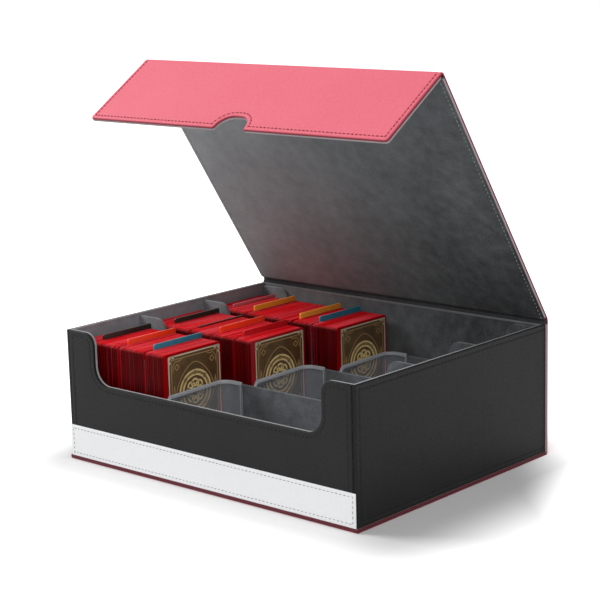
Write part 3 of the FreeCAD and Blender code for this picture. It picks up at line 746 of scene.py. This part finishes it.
packing, given = node_tree("packed_sleeves", "Cards", Runs="Geometry", Pitch="Float",
                           Card_Thick="Float", Card_Wide="Float", Card_High="Float",
                           Corner="Float", Film="Material", Seed="Int")
shape = add(packing, "GeometryNodeCurvePrimitiveQuadrilateral",
            {"Width": given["Card Wide"], "Height": given["Card High"]})
shape = add(packing, "GeometryNodeFilletCurve",
            {"Curve": shape, "Count": 3, "Radius": given["Corner"]}, mode="POLY")
sheet = add(packing, "GeometryNodeFillCurve", {"Curve": shape}, mode="NGONS")
thick = add(packing, "GeometryNodeExtrudeMesh",
            {"Mesh": sheet, "Offset Scale": given["Card Thick"], "Individual": False},
            mode="FACES")
slab = add(packing, "GeometryNodeJoinGeometry", {0: thick})
add(packing, "GeometryNodeFlipFaces", {"Mesh": sheet}, onto=slab.node.inputs[0])
slab = add(packing, "GeometryNodeMergeByDistance", {0: slab, "Distance": 1e-6})
half_thick = add(packing, "ShaderNodeMath", {0: given["Card Thick"], 1: -0.5},
                 operation="MULTIPLY")
half_high = add(packing, "ShaderNodeMath", {0: given["Card High"], 1: 0.5},
                operation="MULTIPLY")
lift = add(packing, "ShaderNodeCombineXYZ", {0: half_thick, 2: half_high})
card = add(packing, "GeometryNodeTransform",
           {"Geometry": slab, "Translation": lift, "Rotation": (math.pi / 2, 0, math.pi / 2)})
line = add(packing, "GeometryNodeMeshToCurve", {"Mesh": given["Runs"]})
places = add(packing, "GeometryNodeResampleCurve",
             {"Curve": line, "Length": given["Pitch"]}, mode="LENGTH")
# in millimetres, how far a card stands out of line, and the height of the lowest as a share
OUT_OF_LINE, LOWEST = 0.18, 0.9955
shift = add(packing, "FunctionNodeRandomValue",
            {0: (0, -OUT_OF_LINE * MM, 0), 1: (0, OUT_OF_LINE * MM, 0), "Seed": given["Seed"]},
            data_type="FLOAT_VECTOR")
placed = add(packing, "GeometryNodeSetPosition", {"Geometry": places, "Offset": shift})
reach = add(packing, "FunctionNodeRandomValue",
            {0: (1, 1, LOWEST), 1: (1, 1, 1), "Seed": given["Seed"]}, data_type="FLOAT_VECTOR")
cards = add(packing, "GeometryNodeInstanceOnPoints",
            {"Points": placed, "Instance": card, "Scale": reach})
chance = add(packing, "FunctionNodeRandomValue", {2: 0.0, 3: 1.0, "Seed": given["Seed"]})
marked = add(packing, "GeometryNodeStoreNamedAttribute",
             {"Geometry": cards, "Name": "tone", "Value": chance},
             data_type="FLOAT", domain="INSTANCE")
real = add(packing, "GeometryNodeRealizeInstances", {"Geometry": marked})
facing = add(packing, "GeometryNodeInputNormal")
facing = add(packing, "ShaderNodeVectorMath", {0: facing}, operation="ABSOLUTE")
# how much painted shade a face takes: 1 on a sleeve's upright edges, half on its flat faces, and
# nothing on its top edge
facing = add(packing, "ShaderNodeVectorMath", {0: facing, 1: (0.5, 1, 0)},
             operation="DOT_PRODUCT")
flank_shaded = add(packing, "GeometryNodeStoreNamedAttribute",
              {"Geometry": real, "Name": "flank_shade", "Value": facing},
              data_type="FLOAT", domain="FACE")
filmed = add(packing, "GeometryNodeSetMaterial",
             {"Geometry": flank_shaded, "Material": given["Film"]})
add(packing, "NodeGroupOutput", {0: filmed})

# cast polypropylene film, tinted through: its top edge is a bright red, painted light, and its
# flanks a deep red, painted shade, with a few flanks lit bright as painted highlights; one sleeve
# in four or so is paler with air in it
red_film, tree, surface, batch = patterned("red_tinted_sleeve_film", 14,
                                           stretch=(1, 0.25, 0.25), Roughness=0.5, IOR=1.49,
                                           Specular_IOR_Level=0.03)
tone, flank_shade = (add(tree, "ShaderNodeAttribute", out="Fac", attribute_name=word)
               for word in ("tone", "flank_shade"))
airy = add(tree, "ShaderNodeMath", {0: tone, 1: batch}, operation="MULTIPLY")
airy = add(tree, "ShaderNodeMapRange", {"Value": airy, "From Min": 0.18, "From Max": 0.5})
top = add(tree, "ShaderNodeMix", {0: airy, 6: linear("#ea0d17"), 7: linear("#f2525e")},
          data_type="RGBA")
# a few sleeves' flanks are lighter: painted highlights
lit = add(tree, "ShaderNodeMath", {0: tone, 1: 14.0}, operation="POWER")
lit = add(tree, "ShaderNodeMath", {0: batch, 1: 0.3, 2: lit}, operation="MULTIPLY_ADD")
side = add(tree, "ShaderNodeMix", {0: lit, 6: linear("#260102"), 7: linear("#74080d")},
           data_type="RGBA")
add(tree, "ShaderNodeMix", {0: flank_shade, 6: top, 7: side}, onto=surface["Base Color"],
    data_type="RGBA")

# SLOT is the room that a divider takes on each side of its middle
PITCH, CARD_THICK, CARD_CORNER, SLOT, SIDE_ROOM = 0.8, 0.7, 3, 0.95, 0.5
runs_of = {
    "front": ("black", "orange", "blue"),
    "middle": ("black", "dark", "orange", "red"),
    "back": ("clear", "amber", "yellow", "blue"),
}
for seed, (row, colours) in enumerate(runs_of.items(), 11):
    low, high = extent(f"{row}_cards")
    at, runs = low.x, []
    for colour in colours:
        near_face, far_face = extent(f"{row}_divider_{colour}")
        middle = (near_face.x + far_face.x) / 2
        runs.append((at, middle - SLOT))
        at = middle + SLOT
    runs.append((at, high.x))
    half = CARD_THICK / 2
    y, wide = (low.y + high.y) / 2, high.y - low.y - 2 * SIDE_ROOM
    chains = [[(start + half, y, low.z), (end - half, y, low.z)] for start, end in runs]
    mesh = grown(f"{row}_sleeves", chains, packing, Pitch=PITCH * MM,
                 Card_Thick=CARD_THICK * MM, Card_Wide=wide * MM,
                 Card_High=(high.z - low.z) * MM, Corner=CARD_CORNER * MM, Film=red_film,
                 Seed=seed)
    settle(mesh, f"{row}_sleeves", f"{row}_cards", "card_sleeve", f"{row}_cards")


# ---- Dividers ----
# Index dividers stand between the cards, each stamped from 1.5 mm polypropylene sheet with a
# tab along its top. Each colour is dyed through, and the rolled sheet is satin.

# (colour, colour in a streak, how much light goes on into it)
colours_of = {
    "black": ("#20231f", "#15170f", 0.0), "dark": ("#5b1418", "#3d0c10", 0.0),
    "orange": ("#ff4a1e", "#f83c14", 0.15), "red": ("#d9131d", "#c20d16", 0.15),
    "blue": ("#2b8aa4", "#1f7690", 0.15), "clear": ("#d9707c", "#c95f6c", 0.3),
    "amber": ("#ffb43c", "#f2a42c", 0.2), "yellow": ("#ffbe44", "#f4ae32", 0.2),
}
# rolled sheet: an even satin, with the roller's drawn streaks about 3 mm wide
sheets = {colour: patterned(f"{colour}_rolled_polypropylene", 3, (light, deep), (0.28, 0.42),
                            stretch=(1, 1, 0.1), IOR=1.49, Subsurface_Weight=glow,
                            Subsurface_Scale=0.002)[0]
          for colour, (light, deep, glow) in colours_of.items()}
# the tab starts above the shoulder, and is moved back, most at the row's front; below it the
# sheet is drawn in at both ends, and a blue one less at its front
SHOULDER, TAB_FRONT, TAB_BACK, SUNK, BLUE_SUNK = 91.5, 8.0, 2.6, 4.0, 1.6
for row, colours in runs_of.items():
    for colour in colours:
        node = f"{row}_divider_{colour}"
        slot = "clear_tint_plastic" if colour == "clear" else f"{colour}_plastic"
        sheet = softened(node, sheets[colour], slot, node, 0.35)
        low, high = (corner.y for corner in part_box(node))
        front_in = BLUE_SUNK if colour == "blue" else SUNK
        for corner in sheet.data.vertices:
            share = (corner.co.y - low) / (high - low)
            if corner.co.z > SHOULDER * MM:
                corner.co.y += (TAB_FRONT * (1 - share) + TAB_BACK * share) * MM
            else:
                corner.co.y += (front_in * (1 - share) - SUNK * share) * MM


# ---- Face cards ----
# The last card of each row faces outwards in a clear sleeve: coated board printed in dark
# brown, with a ringed rosette in gold foil on bronze lozenges, inside a cream frame.

# offset-printed board under clear film: dark brown ink, clouded a little, glossy
brown_print = patterned("printed_brown_card", 7, ("#443222", "#84653f"), detail=5.0,
                        Roughness=0.3, Coat_Weight=0.5, Coat_Roughness=0.12)[0]
# hot-stamped foil: bright gold where it took, duller over the board's 0.6 mm fibres
gold_foil = patterned("stamped_gold_foil", 0.6, ("#fff0b4", "#ffd07a"), (0.25, 0.5))[0]
# screen-printed inks: matt, thinner where the board's 0.6 mm fibres stand up
bronze_ink = patterned("bronze_powder_ink", 0.6, ("#d8b078", "#8f6e42"), Roughness=0.55)[0]
cream_ink = patterned("cream_ink", 0.6, ("#fff0d8", "#e0c8a4"), Roughness=0.55)[0]

stamping, given = node_tree("stamped_line", "Lines", Drawing="Geometry", Line_Wide="Float",
                            Foil_Thick="Float", Foil="Material")
line = add(stamping, "GeometryNodeMeshToCurve", {"Mesh": given["Drawing"]})
flat = add(stamping, "GeometryNodeSetCurveNormal", {"Curve": line}, mode="Z_UP")
bar = add(stamping, "GeometryNodeCurvePrimitiveQuadrilateral",
          {"Width": given["Line Wide"], "Height": given["Foil Thick"]})
ribbon = add(stamping, "GeometryNodeCurveToMesh",
             {"Curve": flat, "Profile Curve": bar, "Fill Caps": True})
turned = add(stamping, "GeometryNodeTransform",
             {"Geometry": ribbon, "Rotation": (math.pi / 2, 0, math.pi / 2)})
real = add(stamping, "GeometryNodeRealizeInstances", {"Geometry": turned})
foiled = add(stamping, "GeometryNodeSetMaterial",
             {"Geometry": real, "Material": given["Foil"]})
add(stamping, "NodeGroupOutput", {0: foiled})


def ring(across, up, wide, high, count=40, power=1.0):
    """Points round an ellipse; a lozenge with hollow sides where the power is above 1."""
    points = []
    for k in range(count + 1):
        angle = 2 * math.pi * k / count
        c, s = math.cos(angle), math.sin(angle)
        points.append((across + wide * math.copysign(abs(c) ** power, c),
                       up + high * math.copysign(abs(s) ** power, s)))
    return points


def mirrored(chains):
    """Chains and their copies in the other three quarters of the card."""
    return [[(x * a, y * b) for x, y in chain]
            for chain in chains for a in (1, -1) for b in (1, -1)]


SHOWN_WIDE, SHOWN_HIGH, SET_BACK = 58, 88, 1.5
half_wide, half_high = SHOWN_WIDE / 2, SHOWN_HIGH / 2


def frame_line(inset, corner):
    """A closed line round the card, at an inset from its edge."""
    x, y = half_wide - inset, half_high - inset
    line = outline([(-x, -y, corner), (x, -y, corner), (x, y, corner), (-x, y, corner)], 0,
                   steps=5)
    return [(p.x, p.y) for p in line + line[:1]]


# the rosette: its height above the card's middle, and how far out its petals and beads are
UP, PETALS, PETAL_OUT, BEAD_OUT = 11, 8, 6.2, 15.2
cream = [frame_line(0.7, 2.4)] + mirrored([
    ring(half_wide - 1.6, half_high - 1.6, 1.1, 1.1, 12),
    ring(half_wide - 1.3, half_high - 5.4, 0.8, 0.8, 10),
    ring(half_wide - 5.4, half_high - 1.3, 0.8, 0.8, 10),
])
bold = [ring(0, UP, 17, 17, 44), ring(0, UP, 13.4, 13.4), ring(0, UP, 2.6, 2.6, 14)]
fine = [frame_line(3.4, 1.2), ring(0, UP, BEAD_OUT, BEAD_OUT), ring(0, UP, 21, 24, 48, 1.25)]
for k in range(PETALS):
    angle = 2 * math.pi * k / PETALS
    c, s = math.cos(angle), math.sin(angle)
    bold.append(ring(PETAL_OUT * c, UP + PETAL_OUT * s, 3.6, 3.6, 16))
    fine.append(ring(BEAD_OUT * c, UP + BEAD_OUT * s, 1.5, 1.5, 10))
fine += mirrored([ring(19.5, 34, 2.6, 2.6, 16, 2.2), ring(23, 14, 0.9, 6, 16, 2.0),
                  [(13, 40.4), (17, 38.6), (21, 38.9), (23.6, 36), (24, 31)]])

# the foil's thickness, and how far its middle stands before the card
FOIL_THICK, FOIL_PROUD = 0.08, 0.02
for row in runs_of:
    body, node = f"{row}_cards", f"{row}_face_card"
    low, high = extent(node)
    card = softened(node, brown_print, "card_face", body, 0.1)
    across = (low.y + high.y) / 2 + SET_BACK
    for corner in card.data.vertices:
        share = (corner.co.y * 1000 - low.y) / (high.y - low.y)
        corner.co.y = (across + (share - 0.5) * SHOWN_WIDE) * MM
    middle = Vector((high.x + FOIL_PROUD, across, (low.z + high.z) / 2)) * MM
    for word, chains, wide, ink in (
            ("bold_foil", bold, 1.6, gold_foil), ("fine_print", fine, 0.75, bronze_ink),
            ("cream_frame", cream, 1.0, cream_ink)):
        flat = [[(x, y, 0) for x, y in chain] for chain in chains]
        mesh = grown(f"{row}_{word}", flat, stamping, Line_Wide=wide * MM,
                     Foil_Thick=FOIL_THICK * MM, Foil=ink)
        mesh.transform(Matrix.Translation(middle))
        settle(mesh, f"{row}_{word}", body, "card_face")


# ---- Stops ----
# A clear stop in each row keeps its cards upright: one plate of acrylic, bent at both ends
# into short wings that rub along the partitions. Its sawn edges are flamed to a frost.

# cast acrylic, faintly smoky, hazed in patches of about 30 mm where the bending heated it
clear_acrylic = patterned("smoky_cast_acrylic", 30, gloss=(0.06, 0.2), detail=3.0,
                          colour="#c4c9d2", IOR=1.49, Alpha=0.2)[0]
# the edge: flame-frosted; its pale colour is partly that frost and partly a painted highlight for
# the light that the plate gathers
frosted_lit_edge = patterned("frosted_acrylic_edge", 1.2, ("#b4b7bd", "#d6d9de"), detail=3.0,
                         Roughness=0.45, IOR=1.49, Alpha=0.8)[0]

# how far the frost comes down from the top and in from the wings' ends; how far the front
# wing's top falls away, below the partition's edge; and how far from the stop's front side
# that fall begins and ends
BAND, LIP, FALL, WING, BEND_END = 2.6, 0.9, 9.0, 12.0, 2
for row in runs_of:
    stop = softened(f"{row}_stop", clear_acrylic, "clear_plastic", f"{row}_stop", 0.3)
    stop.data.materials.append(frosted_lit_edge)
    low, high = extent(f"{row}_stop")
    shape = bmesh.new()
    shape.from_mesh(stop.data)
    for at, way in (((0, 0, high.z - BAND), (0, 0, 1)), ((high.x - LIP, 0, 0), (1, 0, 0))):
        bmesh.ops.bisect_plane(shape, geom=shape.verts[:] + shape.edges[:] + shape.faces[:],
                               plane_co=Vector(at) * MM, plane_no=way)
    for face in shape.faces:
        middle = face.calc_center_median() * 1000
        lip = middle.x > high.x - LIP and abs(face.normal.x) < 0.5
        if middle.z > high.z - BAND or lip:
            face.material_index = 1
    for corner in shape.verts:
        at = corner.co * 1000
        share = max(0.0, min(1.0, (low.y + WING - at.y) / (WING - BEND_END)))
        if at.z > high.z - BAND - 0.1:
            corner.co.z -= FALL * share * share * (3 - 2 * share) * MM
    shape.to_mesh(stop.data)
    shape.free()


# ---- Table and light ----
# A white table in a pale studio: a large key lamp at the upper left in front, and a weaker
# fill lamp to the right. The table looks white away from the box, and keeps its shadow.

def shown_to_eye(tree):
    """One for a ray from the camera, or one that glass or gloss sends on, and else nothing."""
    rays = add(tree, "ShaderNodeLightPath").node.outputs
    shown = add(tree, "ShaderNodeMath",
                {0: rays["Is Camera Ray"], 1: rays["Is Glossy Ray"]}, operation="MAXIMUM")
    return add(tree, "ShaderNodeMath", {0: shown, 1: rays["Is Transmission Ray"]},
               operation="MAXIMUM")


# painted board: matt white, with roller texture of 4 mm; to the eye it is lifted to white,
# from a rounded oblong round the box's foot outwards, and sooner behind the box
table_finish, tree, surface, roller = patterned("white_painted_table", 4, Roughness=0.9,
                                                Specular_IOR_Level=0.1)
add(tree, "ShaderNodeBump", {"Height": roller, "Strength": 0.03, "Distance": 0.0002},
    onto=surface["Normal"])
MIDDLE, HALF_SIZE, LIFTED_BY = (0.02, 0.02, 0), (0.157, 0.13, 0), 0.105
BEHIND_WAY, BEHIND_FROM, BEHIND_SHARE = (1, 1.06, 0), 0.22, 0.8
shown = shown_to_eye(tree)
place = add(tree, "ShaderNodeTexCoord", out="Object")
around = place
for operation, other in (("SUBTRACT", MIDDLE), ("ABSOLUTE", (0, 0, 0)),
                         ("SUBTRACT", HALF_SIZE), ("MAXIMUM", (0, 0, 0)),
                         ("LENGTH", (0, 0, 0))):
    around = add(tree, "ShaderNodeVectorMath", {0: around, 1: other}, operation=operation)
behind = add(tree, "ShaderNodeVectorMath", {0: place, 1: BEHIND_WAY}, operation="DOT_PRODUCT")
behind = add(tree, "ShaderNodeMath", {0: behind, 1: BEHIND_FROM}, operation="SUBTRACT")
behind = add(tree, "ShaderNodeMath", {0: behind, 1: 0.0}, operation="MAXIMUM")
away = add(tree, "ShaderNodeMath", {0: behind, 1: BEHIND_SHARE, 2: around},
           operation="MULTIPLY_ADD")
lift = add(tree, "ShaderNodeMapRange", {"Value": away, "From Max": LIFTED_BY},
           interpolation_type="SMOOTHSTEP")
lifted = add(tree, "ShaderNodeMath", {0: shown, 1: lift}, operation="MULTIPLY")
# to the eye the paint is greyer than to the light that it passes on, which deepens the shadow
# round the box: painted shade
add(tree, "ShaderNodeMix", {0: shown, 6: linear("#ececec"), 7: linear("#dcdcdc")},
    onto=surface["Base Color"], data_type="RGBA")
glow = add(tree, "ShaderNodeEmission", {"Color": linear("#ffffff"), "Strength": lifted})
add(tree, "ShaderNodeAddShader", {0: tree.nodes["Principled BSDF"].outputs[0], 1: glow},
    onto=tree.nodes["Material Output"].inputs["Surface"])

REACH = 6
table = bpy.data.meshes.new("table")
table.from_pydata([(-REACH, -REACH, 0), (REACH, -REACH, 0), (REACH, REACH, 0),
                   (-REACH, REACH, 0)], [], [(0, 1, 2, 3)])
table.materials.append(table_finish)
in_scene("table", table)

# the walls light the box only a little, and to the eye they are white
WALLS = 0.3
room = bpy.data.worlds.new("pale_studio")
room.use_nodes = True
walls = room.node_tree.nodes["Background"].inputs
walls["Color"].default_value = linear("#ffffff")
add(room.node_tree, "ShaderNodeMapRange",
    {"Value": shown_to_eye(room.node_tree), "To Min": WALLS}, onto=walls["Strength"])
bpy.context.scene.world = room


def soft_lamp(name, place, size, watts):
    """A square lamp at a place in metres, aimed at the box's middle."""
    light = bpy.data.lights.new(name, "AREA")
    light.size = size
    light.energy = watts
    lamp = in_scene(name, light)
    lamp.location = place
    aim = Vector((0, 0, 0.1)) - Vector(place)
    lamp.rotation_euler = aim.to_track_quat("-Z", "Y").to_euler()


soft_lamp("key_lamp", (-2.6, -1.03, 2.2), size=1.4, watts=78)
soft_lamp("fill_lamp", (1.41, -1.59, 2.22), size=1.5, watts=34)


# ---- Camera ----
# A short telephoto lens, 1.4 m from the box to its front and right and a little above the
# table. It is rolled by a degree and a half.

AZIMUTH, ELEVATION, ROLL = (math.radians(a) for a in (41.8601, 11.9272, -1.4777))
EYE = (0.9191203, -1.0301286, 0.4217659)
back = Vector((math.sin(AZIMUTH) * math.cos(ELEVATION),
               -math.cos(AZIMUTH) * math.cos(ELEVATION), math.sin(ELEVATION)))
right = Vector((math.cos(AZIMUTH), math.sin(AZIMUTH), 0))
above = back.cross(right)
across = right * math.cos(ROLL) + above * math.sin(ROLL)
upward = above * math.cos(ROLL) - right * math.sin(ROLL)
lens = bpy.data.cameras.new("camera")
lens.lens = 105.99
lens.sensor_width = 36
lens.clip_end = 50
camera = in_scene("camera", lens)
turn = Matrix((across, upward, back)).transposed().to_4x4()
camera.matrix_world = Matrix.Translation(EYE) @ turn
bpy.context.scene.camera = camera
bpy.context.scene.view_settings.view_transform = "Standard"
